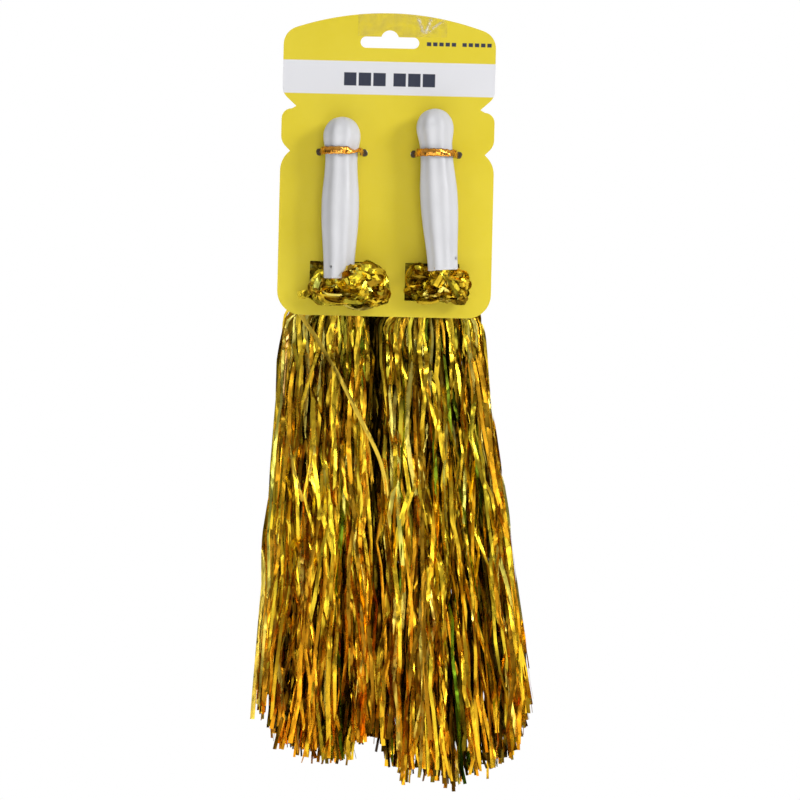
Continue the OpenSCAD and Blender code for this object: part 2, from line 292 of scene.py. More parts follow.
class Tassel:
    """Where one tassel's strips run, from its window behind the card down to the tips."""

    def __init__(self, side):
        self.side = side
        self.window = Vector(JOINTS[f"{side}_tassel_sway"]["pos_m"])
        self.locks = [self.read_lock(i) for i in range(1, LOCKS + 1)]

    def read_lock(self, i):
        """The lock's edges at the fold line and at its tips, read from the frame's own solid."""
        mesh = frame["nodes"][f"{self.side}_lock_{i}"].data
        co = np.array([v.co for v in mesh.vertices], float)
        low = co[:, 2].min()
        foot = co[co[:, 2] < low + 1 * MM]
        head = co[co[:, 2] > FOLD_LINE.z - 0.5 * MM]
        return {
            "tip": low,
            "top_x": (head[:, 0].min(), head[:, 0].max()),
            "foot_x": (foot[:, 0].min(), foot[:, 0].max()),
            "foot_t": (foot[:, 1].max() - foot[:, 1].min()) / 2,
        }

    def place(self, lock, u, v, z):
        """The point at u across the lock and v through it, at a height below the fold line."""
        t = (FOLD_LINE.z - z) / (FOLD_LINE.z - lock["tip"])
        left = mix(lock["top_x"][0], lock["foot_x"][0], t)
        right = mix(lock["top_x"][1], lock["foot_x"][1], t)
        half = mix(FOLD_HALF, lock["foot_t"] * 0.85, ease(t * 1.3))
        return mix(left, right, u), FOLD_LINE.y + v * half

    def limits(self, z):
        """The tassel's left and right edges at each height, a little wider towards the other tassel."""
        first, last = self.locks[0], self.locks[-1]
        t_first = np.clip((FOLD_LINE.z - z) / (FOLD_LINE.z - first["tip"]), 0, 1)
        t_last = np.clip((FOLD_LINE.z - z) / (FOLD_LINE.z - last["tip"]), 0, 1)
        left = mix(first["top_x"][0], first["foot_x"][0], t_first)
        right = mix(last["top_x"][1], last["foot_x"][1], t_last)
        if self.side == "left":
            return left + 3 * MM * np.clip((t_first - 0.5) / 0.12, 0, 1), right + INWARD
        waist = 1.5 * MM * np.sin(math.pi * np.clip((t_last + 0.06) / 0.46, 0, 1))
        flare = 1.6 * MM * np.clip((t_last - 0.6) / 0.25, 0, 1)
        return left - INWARD, right - waist + flare

    def kept_inside(self, x, z, margin):
        """Eases a strip back where it would wander out past the tassel's edges, give or take a margin."""
        left, right = self.limits(z)
        return eased(x, left - margin, right + margin, 3.5 * MM)

    def core_painted_shade(self, path):
        """How bright the core's film is at each point: painted shade that darkens it inside, where it
        reflects only other strips.
        """
        left, right = self.limits(path[:, 2])
        depth = path[:, 0] - left if self.side == "left" else right - path[:, 0]
        return mix(0.9, 0.17, np.clip(depth / DIM_DEPTH, 0, 1))[:, None]

    def cut_short(self, rng, path):
        """How many of the path's points lie above the strip's own end, near the hem or some way above it."""
        line = np.array(HEM[self.side]) * MM
        hem = np.interp(path[:, 0], line[:, 0], line[:, 1])
        below = path[:, 2] < hem + rng.expovariate(1 / (9 * MM)) - abs(rng.gauss(0, 3 * MM))
        return max(8, int(np.argmax(below))) if below.any() else len(path)

    def strip(self, rng, i, share, layer, step=4 * MM):
        """One strip's path and width direction. share is how far across the tassel it starts.

        layer is -1 at the front, 1 at the back and 0 in the core.
        """
        lock = self.locks[i]
        u = rng.uniform(-0.1, 1.1)
        u_tip = u + rng.gauss(0, 0.45)
        if layer and self.side == "left" and i == LOCKS - 1:
            u, u_tip = rng.uniform(-0.3, 0.3), rng.uniform(0, 1.15)
        if layer and self.side == "right" and i == 0:
            u, u_tip = rng.uniform(0.3, 1.3), rng.uniform(-0.15, 1)
        if not layer and (self.side, i) in (("left", LOCKS - 1), ("right", 0)):
            u = rng.uniform(-0.35, 1.35)
        v = layer * rng.uniform(0.55, 1) if layer else rng.uniform(-0.45, 0.45)
        tip = lock["tip"]
        start = Vector((
            self.window.x + (share - 0.5) * START_SPREAD + rng.uniform(-2, 2) * MM,
            CARD_BACK + rng.uniform(1.5, 4) * MM,
            self.window.z + rng.uniform(-7.5, 9.5) * MM,
        ))
        count = int((start.z - tip) / step)
        heights = np.linspace(start.z, tip, count)
        path = np.empty((count, 3))
        for k, z in enumerate(heights):
            spread = ease((start.z - z) / (start.z - FOLD_LINE.z))
            below = max(0.0, (FOLD_LINE.z - z) / (FOLD_LINE.z - tip))
            x, y = self.place(lock, mix(u, u_tip, below), v, min(z, FOLD_LINE.z))
            path[k] = (mix(start.x, x, spread), mix(start.y, y, spread), z)
        free = np.array([ease((start.z - z) / (30 * MM)) for z in heights])
        path[:, 0] += crinkle(rng, count, step, 0.13, 0.045) * free
        path[:, 1] += crinkle(rng, count, step, 0.27 if layer else 0.12, 0.10) * free
        path[:, 0] = self.kept_inside(path[:, 0], heights, rng.gauss(-0.8, 1.6) * MM)
        path[:, 1] = eased(path[:, 1], FOLD_LINE.y - TASSEL_REACH, FOLD_LINE.y + TASSEL_REACH, 8 * MM)
        turns = turning(rng, count, 0.6, 0.38) * np.clip((start.z - heights) / (24 * MM), 0.15, 1)
        share_down = (FOLD_LINE.z - heights) / (FOLD_LINE.z - tip)
        turns *= 1 + 0.5 * np.clip(share_down, 0, 1)
        # behind the card, and as far below its edge as it reaches when the tassel sways
        away = np.hypot(path[:, 0] - self.window.x, heights - self.window.z)
        let_go = np.clip((away - CORNER_REACH) / (12 * MM), 0, 1) ** 2
        nearest = CARD_BACK + 0.9 * MM + 0.55 * STRIP_W * np.abs(np.sin(turns)) - 26 * MM * let_go
        path[:, 1] = np.maximum(path[:, 1], nearest)
        if away[0] < WINDOW_REACH:
            emerged = np.array([ease((start.z - z) / (7 * MM)) for z in heights])
            path[:, 1] = mix(CARD_FRONT, path[:, 1], emerged)
        across = carried_across(path, (1, 0, 0), turns)
        end = self.cut_short(rng, path)
        return path[:end], across[:end], share_down[:end]


LOOSE = {
    # strands that cross in front of the others, by side and lock, in millimetres
    ("left", 3): (
        (
            (-46.8, 1.2, -149.5), (-41.5, 0.6, -157), (-36, -1.8, -164.5), (-30.2, -6, -174),
            (-24.3, -9, -183), (-12, -11, -206), (-1.8, -10, -225.5), (2.6, -7, -239), (4.5, -3, -252),
        ),
        ((-53, 0, -212), (-50, -5, -224), (-46, -7, -240), (-41.5, -7, -253)),
    ),
}


def facing_level(down):
    """The outer strips are a little darker in the tassel's upper part, where the card shades them."""
    return 1 - 0.18 * np.exp(-((down - 0.1) / 0.15) ** 2)[:, None]


def make_lock(tassel, i, rng, material):
    """One of a tassel's locks, from the window to the tips. Its strips spread out above the fold line and
    hang down below it.
    """
    strips = Strips()
    for layer in [-1, 1] * FACING_STRIPS + [0] * CORE_STRIPS:
        share = (i - 1 + rng.random()) / LOCKS
        path, across, down = tassel.strip(rng, i - 1, share, layer)
        # painted shade on the outer strips under the card and in the core
        level = facing_level(down) if layer else tassel.core_painted_shade(path)
        width = STRIP_W * rng.uniform(0.55, 1.0)
        strips.add(path, across, width, strip_tint(rng, down) * level, cup=rng.uniform(-0.1, 0.1))
    side = tassel.side
    for points in LOOSE.get((side, i), ()):
        path = spline([Vector(p) * MM for p in points], 40)
        across = carried_across(path, (1, 0, 0), turning(rng, 40, 0.1, 0.15) + 0.35)
        strips.add(path, across, 2.3 * MM, np.tile((0.80, 0.55, 0.06), (40, 1)), cup=0.1)
    obj = strips.build(f"{side}_strips_{i}", material)
    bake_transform(obj)
    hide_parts(f"{side}_lock_{i}")
    return obj


def make_neck(tassel, rng, material):
    """Strips that lie behind the card, between the window and the tops of the locks."""
    strips = Strips()
    for k in range(NECK_STRIPS):
        share, layer = k / NECK_STRIPS, (-1, 0, 1)[k % 3]
        path, across, down = tassel.strip(rng, k * LOCKS // NECK_STRIPS, share, layer)
        keep = path[:, 2] > CARD_LOW.z + 1 * MM
        strips.add(path[keep], across[keep], STRIP_W, strip_tint(rng, down[keep]))
    side = tassel.side
    obj = strips.build(f"{side}_neck_strips", material)
    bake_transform(obj)
    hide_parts(f"{side}_neck")
    return obj


# ------------------------------------------------------------------ bunches

LOBES = {
    # lumps of the crumpled mass in front of the card: centre and half sizes in millimetres
    "left": (
        ((-9.5, -12, -130), (9, 8, 7)),
        ((-6, -9, -136.5), (8, 7, 9)),
        ((-15, -12, -138), (9, 7, 7)),
        ((-26, -10, -138.5), (12, 7, 6.5)),
        ((-33, -8, -136), (6, 6, 8)),
        ((-13, -9, -142), (11, 6, 6)),
        ((-16.5, -18.5, -130.5), (6, 4, 6)),
    ),
    "right": (
        ((29, -8, -134), (9, 6.5, 7)),
        ((19, -7, -132), (6.5, 5, 9)),
        ((39, -7, -132), (6, 6, 9)),
        ((22, -6, -138), (9, 5, 4)),
        ((36, -6, -138), (9, 5, 4)),
    ),
}
BUNCH_STRIPS = {"left": 100, "right": 64}
# painted light and shade: each bunch's foil colour is scaled, the left one's brighter and the right one's a
# little darker
BUNCH_PAINTED_LIGHT = {"left": 1.22, "right": 0.98}
UNDERSIDE_Z = -147 * MM     # lowest film of a bunch, darkest with painted shade for the dark tassel it reflects below it
UNDERSIDE_FADE = 11 * MM    # over this height that painted shade fades out
FILL_ROWS = 16
FILL_LOW, FILL_HIGH = -11, 9.5      # outermost rows of the windows' filling, in millimetres from the middle
FILL_REACH = 17             # and how far each row goes to the sides
WINDOW_LEVEL = 0.22         # brightness of that filling, which lies in shade
SPRIG_STRIPS = 5
SPRIG = (
    # the loose ends that stick out at the left bunch's left, in millimetres
    (-36, -9, -139), (-41, -8, -140.5), (-45.5, -6, -142),
)


def handle_frame(side):
    """The handle's top point and the direction down its axis."""
    joint = JOINTS[f"{side}_handle_spin"]
    axis = Vector(joint["axis"]).normalized()
    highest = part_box(f"{side}_handle")[1]
    at = Vector(joint["pos_m"])
    top = at + axis * ((highest.z - at.z) / axis.z)
    return top, -axis


def crumpled(rng, strips, points, centre, tint_share, width, level=1.0, calm=1.0):
    """A creased strip through the points, lying roughly flat against the lump it wraps, with painted shade
    towards the bunch's underside.
    """
    count = 5 * len(points)
    path = spline(points, count)
    before_card = path[:, 1] < CARD_FRONT
    path[before_card, 1] = np.minimum(path[before_card, 1], CARD_FRONT - 0.8 * MM)
    along = tangents(path)
    outward = unit(path - np.asarray(centre))
    flat = unit(np.cross(along, outward) + 1e-6)
    turns = turning(rng, count, 0.35, 0.5)[:, None] * calm
    across = flat * np.cos(turns) + np.cross(along, flat) * np.sin(turns)
    # painted shade: the tint darkens towards the bunch's underside
    underside_shade = np.clip((UNDERSIDE_Z + UNDERSIDE_FADE - path[:, 2]) / UNDERSIDE_FADE, 0, 1)[:, None]
    tint = strip_tint(rng, np.full(count, tint_share), BUNCH_TINTS) * level * mix(1.0, 0.3, underside_shade)
    strips.add(path, across, width, np.minimum(tint, 1.0), cup=rng.uniform(-0.16, 0.16))


def on_shell(rng, centre, half, direction):
    """A point on a lump's skin in the direction given, or a little under or over it."""
    reach = rng.choice((0.85, 1.0, 1.0, 1.18))
    return Vector([(c + h * d * reach) * MM for c, h, d in zip(centre, half, direction)])


def lobe_loop(rng, lobe, mouth, down, window):
    """Points of a strip that leaves the socket, wraps a lump and goes back through the window."""
    centre, half = lobe
    first = Vector((rng.gauss(0, 1), -abs(rng.gauss(0.3, 0.7)), rng.gauss(0, 1))).normalized()
    step = rng.choice((-1, 1)) * rng.uniform(0.9, 1.6)
    spin = Matrix.Rotation(step, 3, Vector((rng.gauss(0, 0.5), 1, rng.gauss(0, 0.5))))
    second = spin @ first
    angle, reach = rng.uniform(0, 2 * math.pi), SOCKET_R * 0.85 * math.sqrt(rng.random())
    start = mouth + Vector((reach * math.cos(angle), reach * math.sin(angle), 0))
    points = [start - down * 2 * MM, start + down * rng.uniform(1.5, 4) * MM]
    points.append(on_shell(rng, centre, half, first))
    points.append(on_shell(rng, centre, half, second))
    if rng.random() < 0.6:
        points.append(on_shell(rng, centre, half, spin @ second))
    x, z = window.x + rng.uniform(-12, 12) * MM, window.z + rng.uniform(-8, 7) * MM
    points.append(Vector((x, CARD_FRONT - 1.5 * MM, z)))
    points.append(Vector((
        x + rng.uniform(-2, 2) * MM,
        CARD_BACK + rng.uniform(1.5, 4) * MM,
        z - rng.uniform(1, 5) * MM,
    )))
    return points


def fill_window(side, rng, window, material):
    """Crumpled layers behind the window, reaching past its edges, so that none of it is left open."""
    strips = Strips()
    for k in range(FILL_ROWS):
        z = window.z + (FILL_LOW + (FILL_HIGH - FILL_LOW) * k / (FILL_ROWS - 1)) * MM
        points = [
            (window.x + x * MM, rng.uniform(1.1, 2.2) * MM, z + rng.uniform(-0.8, 0.8) * MM)
            for x in np.linspace(-FILL_REACH, FILL_REACH, 9)
        ]
        centre = (window.x, 40 * MM, z)
        crumpled(rng, strips, points, centre, 0.3, 4 * MM, level=WINDOW_LEVEL, calm=0.3)
    obj = strips.build(f"{side}_window_fill", material, smooth=False)
    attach(obj, "card")


def make_bunch(side, rng, material):
    """The crumpled film that runs out of the socket, round its lumps and into the window."""
    top, down = handle_frame(side)
    mouth = top + down * (HANDLE_L - 1 * MM)
    window = Vector(JOINTS[f"{side}_tassel_sway"]["pos_m"])
    fill_window(side, rng, window, material)
    strips = Strips()
    lobes = LOBES[side]
    for k in range(BUNCH_STRIPS[side]):
        lobe = lobes[k % len(lobes)]
        points = lobe_loop(rng, lobe, mouth, down, window)
        tint_share, width = rng.uniform(0, 0.3), rng.uniform(2.2, 5.2) * MM
        crumpled(rng, strips, points, Vector(lobe[0]) * MM, tint_share, width, level=BUNCH_PAINTED_LIGHT[side])
    if side == "left":
        for _ in range(SPRIG_STRIPS):
            points = [Vector([c + rng.uniform(-1.6, 1.6) for c in p]) * MM for p in SPRIG]
            crumpled(rng, strips, points, Vector(SPRIG[0]) * MM, 0.4, rng.uniform(1.8, 3) * MM)
    obj = strips.build(f"{side}_bunch_strips", material, smooth=False)
    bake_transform(obj)
    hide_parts(f"{side}_foil_bunch")
    return obj


GOLDEN_ANGLE = 2.39996      # radians between neighbours, which packs a round section evenly


def make_root(side, rng, material):
    """The strips' folded middles, standing packed in the socket and pinched by their binding."""
    top, down = handle_frame(side)
    low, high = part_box(f"{side}_root_binding")
    waist = top.z - (low.z + high.z) / 2
    first, last = HANDLE_L - 24 * MM, HANDLE_L + 0.5 * MM
    stations = np.linspace(first, last, 14)
    strips = Strips()
    for k in range(ROOT_STRIPS):
        angle, share = k * GOLDEN_ANGLE, math.sqrt((k + 0.5) / ROOT_STRIPS)
        squeeze = np.array([1 - 0.14 * math.exp(-((s - waist) / (2 * MM)) ** 2) for s in stations])
        radius = (SOCKET_R - 0.9 * MM) * share * squeeze
        path = np.array([
            list(top + down * s + Vector((r * math.cos(angle), r * math.sin(angle), 0)))
            for s, r in zip(stations, radius)
        ])
        across = carried_across(path, (-math.sin(angle), math.cos(angle), 0), np.full(14, rng.gauss(0, 0.2)))
        strips.add(path, across, STRIP_W * 0.8, strip_tint(rng, np.zeros(14)))
    obj = strips.build(f"{side}_root_strips", material)
    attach(obj, f"{side}_handle")
    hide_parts(f"{side}_foil_root")
    return obj


# ------------------------------------------------------------------ handles

BALL_R, NECK_R, BELLY_R, END_R = 10.6 * MM, 9.2 * MM, 10.7 * MM, 8.6 * MM
BALL_AT = 10.6 * MM
NECK_FROM, NECK_TO = 21 * MM, 24 * MM
BELLY_FROM, BELLY_TO = 48 * MM, 50 * MM
FLUTES = 8
FLUTE_DEPTH = 0.8 * MM
RIM_R = 0.9 * MM            # rounding of the lower end's rim
SOCKET_DEPTH = 26 * MM
PIN_HOLE_R = 0.85 * MM


def handle_radius(s):
    """Outer radius at a distance s below the top of the ball."""
    if s < BALL_AT:
        return BALL_R * math.sqrt(max(0.0, 1 - ((BALL_AT - s) / BALL_AT) ** 2))
    if s < NECK_FROM:
        return mix(BALL_R, NECK_R, ease((s - BALL_AT) / (NECK_FROM - BALL_AT)))
    if s < NECK_TO:
        return NECK_R
    if s < BELLY_FROM:
        return mix(NECK_R, BELLY_R, ease((s - NECK_TO) / (BELLY_FROM - NECK_TO)))
    if s < BELLY_TO:
        return BELLY_R
    return mix(BELLY_R, END_R, ease((s - BELLY_TO) / (HANDLE_L - BELLY_TO)))


def drill(obj, pin):
    """Cuts the cross hole that the pin sits in."""
    co = np.array([v.co for v in frame["nodes"][pin].data.vertices], float)
    middle = co.mean(0)
    _, _, axes = np.linalg.svd(co - middle, full_matrices=False)
    along = Vector(axes[0])
    bpy.ops.mesh.primitive_cylinder_add(vertices=32, radius=PIN_HOLE_R, depth=24 * MM, location=middle)
    cutter = bpy.context.object
    cutter.rotation_mode = "QUATERNION"
    cutter.rotation_quaternion = along.to_track_quat("Z", "Y")
    cut = obj.modifiers.new("hole", "BOOLEAN")
    cut.object, cut.operation, cut.solver = cutter, "DIFFERENCE", "EXACT"
    bpy.context.view_layer.update()
    solid = bpy.data.meshes.new_from_object(obj.evaluated_get(bpy.context.evaluated_depsgraph_get()))
    obj.modifiers.clear()
    obj.data = solid
    bpy.data.objects.remove(cutter, do_unlink=True)


def make_handle(side, material):
    """The fluted club as one closed shell: its outside, its rim, and its socket up to a flat roof."""
    top, down = handle_frame(side)
    lean = UP.rotation_difference(-down).to_matrix()
    around = FLUTES * 16
    stations = [BALL_AT * (1 - math.cos(math.radians(a))) for a in range(5, 90, 5)]
    stations += list(np.linspace(BALL_AT, HANDLE_L - RIM_R, 72))
    rings = []
    for s in stations:
        r = handle_radius(s)
        depth = FLUTE_DEPTH * ease((s - 0.4 * MM) / (7 * MM)) * (0.45 + 0.55 * r / BELLY_R)
        rings.append((s, r, depth))
    for a in range(15, 91, 15):
        t = math.radians(a)
        s, r = HANDLE_L - RIM_R + RIM_R * math.sin(t), END_R - RIM_R * (1 - math.cos(t))
        rings.append((s, r, FLUTE_DEPTH * 0.6))
    rings.append((HANDLE_L, SOCKET_R + 0.1 * MM, 0))
    rings.append((HANDLE_L - 1 * MM, SOCKET_R, 0))
    rings.append((HANDLE_L - SOCKET_DEPTH, SOCKET_R, 0))
    verts = []
    for s, r, depth in rings:
        for k in range(around):
            a = 2 * math.pi * k / around
            groove = (1 + math.cos(FLUTES * a)) / 2
            seam = 0.12 * MM * math.exp(-((math.cos(a) / 0.03) ** 2))
            reach = r - depth * groove + (seam if depth else 0)
            verts.append(top + lean @ Vector((reach * math.sin(a), -reach * math.cos(a), -s)))
    faces = []
    for i in range(len(rings) - 1):
        for k in range(around):
            m = (k + 1) % around
            faces.append((i * around + k, (i + 1) * around + k, (i + 1) * around + m, i * around + m))
    pole = len(verts)
    verts.append(top)
    faces += [(pole, k, (k + 1) % around) for k in range(around)]
    roof = len(verts)
    verts.append(top + down * (HANDLE_L - SOCKET_DEPTH - 1 * MM))
    last = (len(rings) - 1) * around
    faces += [(roof, last + (k + 1) % around, last + k) for k in range(around)]
    obj = mesh_object(f"{side}_handle_shell", verts, faces, material)
    drill(obj, f"{side}_retaining_pin")
    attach(obj, f"{side}_handle")
    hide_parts(f"{side}_handle")
    return obj


# ------------------------------------------------------------------ twist ties

TIE_W = 4.2 * MM
TIE_R = NECK_R + 1.35 * MM
TIE_HOLE_X = 12.15 * MM     # from the tie's middle to each of its two holes
WAD_R = 1.84 * MM
WAD_PROFILE = (
    # the wad from front to back: millimetres through the card, and radius as a share of WAD_R
    (-0.8, 0.3), (-0.95, 0.6), (-0.9, 0.95), (-0.65, 1.08),
    (-0.45, 1.0), (0.9, 1.0), (1.15, 0.75), (1.1, 0.35),
)
TAIL_L = 17 * MM
TIE_SECTION = (
    # across as a share of the width, and thickness in millimetres: the backing first, then the foil
    (-0.5, 0.03), (-0.3, 0.05), (-0.1, 0.3), (0, 0.36), (0.1, 0.3), (0.3, 0.05), (0.5, 0.03),
    (0.3, -0.05), (0.1, -0.3), (0, -0.36), (-0.1, -0.3), (-0.3, -0.05),
)
BACKING_FACES = 6


def closed_tube(faces, start, rows, around):
    """Adds the faces of a tube with closed ends. Its rings of points follow one another from start."""
    for a in range(start, start + (rows - 1) * around, around):
        for k in range(around):
            m = (k + 1) % around
            faces.append((a + k, a + m, a + around + m, a + around + k))
    faces.append(tuple(start + k for k in reversed(range(around))))
    last = start + (rows - 1) * around
    faces.append(tuple(last + k for k in range(around)))


def tie_path(centre_x, axis_y, tie_z, tail_y):
    """Out through one hole, round the front of the neck, and back through the other."""
    front = [
        (TIE_R * math.cos(a), axis_y + TIE_R * math.sin(a))
        for a in np.linspace(math.radians(-8), math.radians(-172), 30)
    ]
    hole = TIE_HOLE_X
    out = [
        (0.4 * MM, tail_y), (hole - 2 * MM, tail_y), (hole - 0.4 * MM, tail_y),
        (hole, tail_y - 0.5 * MM), (hole, 0), (hole - 0.2 * MM, -2.4 * MM),
    ]
    outline = out + front + [(-x, y) for x, y in reversed(out)]
    return spline([(centre_x + x, y, tie_z) for x, y in outline], 150)


def hole_shade_wad(verts, faces, rng, at):
    """A dark wad that paints the shade in a hole: the ribbon's edges, folded in over each other where they
    fill it, paper side out.
    """
    around, start = 24, len(verts)
    lumps = [(rng.uniform(0, 6.28), rng.uniform(0.02, 0.06)) for _ in range(3)]
    for y, share in WAD_PROFILE:
        for k in range(around):
            a = 2 * math.pi * k / around
            bulge = sum(size * math.sin((j + 2) * a + turn) for j, (turn, size) in enumerate(lumps))
            r = WAD_R * share * (1 + bulge)
            verts.append(np.array((at[0] + r * math.cos(a), y * MM + at[1], at[2] + r * math.sin(a))))
    closed_tube(faces, start, len(WAD_PROFILE), around)


def twisted_tail(verts, faces, centre_x, tail_y, tie_z):
    """The two ends of the tie, wound round each other behind the card."""
    rows = 60
    for start in (0, math.pi):
        base = len(verts)
        for i in range(rows):
            t = i / (rows - 1)
            a = start + t * 8 * math.pi
            out = np.array((math.cos(a), math.sin(a), 0))
            thick = np.array((-math.sin(a), math.cos(a), 0)) * 0.12 * MM
            middle = np.array((centre_x, tail_y, tie_z - t * TAIL_L)) + thick * 2.5
            wide = mix(0.9, 1.35, t) * MM
            verts += [middle - out * wide * 0.3 - thick, middle + out * wide - thick]
            verts += [middle + out * wide + thick, middle - out * wide * 0.3 + thick]
        closed_tube(faces, base, rows, 4)


def make_tie(side, rng, foil, backing_and_hole_shade):
    """Foil laminated over the wire: round the front of the neck, through both holes, and twisted behind. The
    holes and the ribbon next to them are painted shade in the dark backing.
    """
    low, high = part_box(f"{side}_tie_ribbon")
    centre_x, tie_z = (low.x + high.x) / 2, (low.z + high.z) / 2
    axis_y = Vector(JOINTS[f"{side}_handle_spin"]["pos_m"]).y
    tail_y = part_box(f"{side}_tie_wire")[1].y - 0.45 * MM
    path = tie_path(centre_x, axis_y, tie_z, tail_y)
    count = len(path)
    s = np.linspace(0, 1, count)
    near = np.clip((path[:, 1] - axis_y - 4 * MM) / (5 * MM), 0, 1) * (path[:, 1] < CARD_BACK)
    width = TIE_W * (1 - 0.72 * near) * (1 + 0.05 * np.sin(s * 61) + 0.03 * np.sin(s * 143 + 1))
    in_front = path[:, 1] < CARD_FRONT - 1 * MM
    turns = turning(rng, count, 0.05, 0.14) * in_front
    edge_on = 1.15 if side == "left" else 0.35
    turns += edge_on * np.exp(-((path[:, 0] - centre_x - 0.62 * TIE_HOLE_X) / (2.2 * MM)) ** 2) * in_front
    across = carried_across(path, (0, 0, 1), turns)
    normal = unit(np.cross(tangents(path), across))
    ripple = 0.12 * MM * np.sin(s * 170) * np.sin(s * 37 + 1)
    n = len(TIE_SECTION)
    verts, faces = [], []
    for i in range(count):
        for a, b in TIE_SECTION:
            verts.append(path[i] + across[i] * width[i] * a + normal[i] * (b * MM + ripple[i] * 2 * abs(a)))
    closed_tube(faces, 0, count, n)
    twisted_tail(verts, faces, centre_x, tail_y, tie_z)
    foil_faces = len(faces)
    for x in (-TIE_HOLE_X, TIE_HOLE_X):
        hole_shade_wad(verts, faces, rng, (centre_x + x, 0, tie_z))
    obj = mesh_object(f"{side}_tie_foil", verts, faces, foil)
    obj.data.materials.append(backing_and_hole_shade)
    for i, face in enumerate(obj.data.polygons):
        on_ribbon = i < (count - 1) * n
        # painted shade: faces close to the holes take the dark backing on both sides
        paper_or_hole_shade = on_ribbon and (i % n < BACKING_FACES or near[i // n] > 0.6)
        face.material_index = int(paper_or_hole_shade or i >= foil_faces)
    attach(obj, "card")
    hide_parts(f"{side}_tie_ribbon")
    return obj


# ------------------------------------------------------------------ materials

def new_material(name, roughness, metallic=0.0):
    """A material, with its nodes, its links and its main shader."""
    mat = bpy.data.materials.new(name)
    mat.use_nodes = True
    shader = mat.node_tree.nodes["Principled BSDF"]
    shader.inputs["Roughness"].default_value = roughness
    shader.inputs["Metallic"].default_value = metallic
    return mat, mat.node_tree.nodes, mat.node_tree.links, shader


def add(nodes, kind, **values):
    """A node with its named properties or inputs set."""
    node = nodes.new(kind)
    for name, value in values.items():
        if hasattr(node, name):
            setattr(node, name, value)
        else:
            node.inputs[name.replace("_", " ")].default_value = value
    return node


def object_noise(nodes, links, scale, detail=3.0, stretch=(1, 1, 1)):
    """Noise in the object's own metres, with features about 1/scale metres across."""
    place = nodes.new("ShaderNodeTexCoord")
    mapping = nodes.new("ShaderNodeMapping")
    mapping.inputs["Scale"].default_value = stretch
    noise = add(nodes, "ShaderNodeTexNoise", Scale=scale, Detail=detail)
    links.new(place.outputs["Object"], mapping.inputs["Vector"])
    links.new(mapping.outputs["Vector"], noise.inputs["Vector"])
    return noise.outputs["Fac"]


def remap(nodes, links, value, low, high, from_low=0.3, from_high=0.7):
    """The value stretched from one range to another, and held inside it."""
    node = nodes.new("ShaderNodeMapRange")
    node.inputs["From Min"].default_value = from_low
    node.inputs["From Max"].default_value = from_high
    node.inputs["To Min"].default_value = low
    node.inputs["To Max"].default_value = high
    links.new(value, node.inputs["Value"])
    return node.outputs["Result"]


def math_node(nodes, links, operation, a, b=None, c=None):
    """A sum or the like of sockets or numbers."""
    node = add(nodes, "ShaderNodeMath", operation=operation)
    for k, value in enumerate((a, b, c)):
        if value is None:
            continue
        if isinstance(value, (int, float)):
            node.inputs[k].default_value = value
        else:
            links.new(value, node.inputs[k])
    return node.outputs[0]


def blend_colour(nodes, links, factor, a, b, kind="MIX"):
    """Two colours mixed by a factor, each of the three a socket or a value."""
    node = nodes.new("ShaderNodeMix")
    node.data_type = "RGBA"
    node.blend_type = kind
    for socket, value in ((node.inputs[0], factor), (node.inputs[6], a), (node.inputs[7], b)):
        if isinstance(value, (int, float)):
            socket.default_value = value
        elif isinstance(value, tuple):
            socket.default_value = (*value, 1)
        else:
            links.new(value, socket)
    return node.outputs[2]


def bump(nodes, links, shader, layers):
    """Stacked bumps, each (height, strength, distance)."""
    normal = None
    for height, strength, distance in layers:
        node = nodes.new("ShaderNodeBump")
        node.inputs["Strength"].default_value = strength
        node.inputs["Distance"].default_value = distance
        links.new(height, node.inputs["Height"])
        if normal is not None:
            links.new(normal, node.inputs["Normal"])
        normal = node.outputs["Normal"]
    links.new(normal, shader.inputs["Normal"])


def paint(nodes, links, shader, factor, a, b):
    """Gives the shader a base colour that wanders between a and b with the factor."""
    links.new(blend_colour(nodes, links, factor, a, b), shader.inputs["Base Color"])


def object_xyz(nodes, links):
    """The object's own X, Y and Z in metres, as three sockets."""
    place = nodes.new("ShaderNodeTexCoord")
    split = nodes.new("ShaderNodeSeparateXYZ")
    links.new(place.outputs["Object"], split.inputs[0])
    return split.outputs


def foil_material():
    """Metallised film: each strip's own tint, with soft dents and finer wrinkles."""
    mat, nodes, links, shader = new_material("gold_foil", 0.2, metallic=1.0)
    tint = add(nodes, "ShaderNodeAttribute", attribute_name="tint")
    patches = remap(nodes, links, object_noise(nodes, links, 90, 2), 0.72, 1.0)
    shade = nodes.new("ShaderNodeCombineColor")
    for name in ("Red", "Green", "Blue"):
        links.new(patches, shade.inputs[name])
    colour = blend_colour(nodes, links, 1.0, tint.outputs["Color"], shade.outputs[0], "MULTIPLY")
    links.new(colour, shader.inputs["Base Color"])
    dull = remap(nodes, links, object_noise(nodes, links, 220, 2), 0.20, 0.40)
    links.new(dull, shader.inputs["Roughness"])
    creases = object_noise(nodes, links, 260, 1, stretch=(1, 1, 0.4))
    fine = object_noise(nodes, links, 600, 1)
    bump(nodes, links, shader, ((creases, 0.6, 1.1 * MM), (fine, 0.2, 0.12 * MM)))
    return mat


def tie_material():
    """The twist ties' copper-coloured foil."""
    mat, nodes, links, shader = new_material("copper_foil", 0.24, metallic=1.0)
    patches = remap(nodes, links, object_noise(nodes, links, 260, 2), 0, 1)
    paint(nodes, links, shader, patches, (0.84, 0.33, 0.03), (0.98, 0.48, 0.09))
    bump(nodes, links, shader, ((object_noise(nodes, links, 300, 2), 0.3, 0.3 * MM),))
    return mat


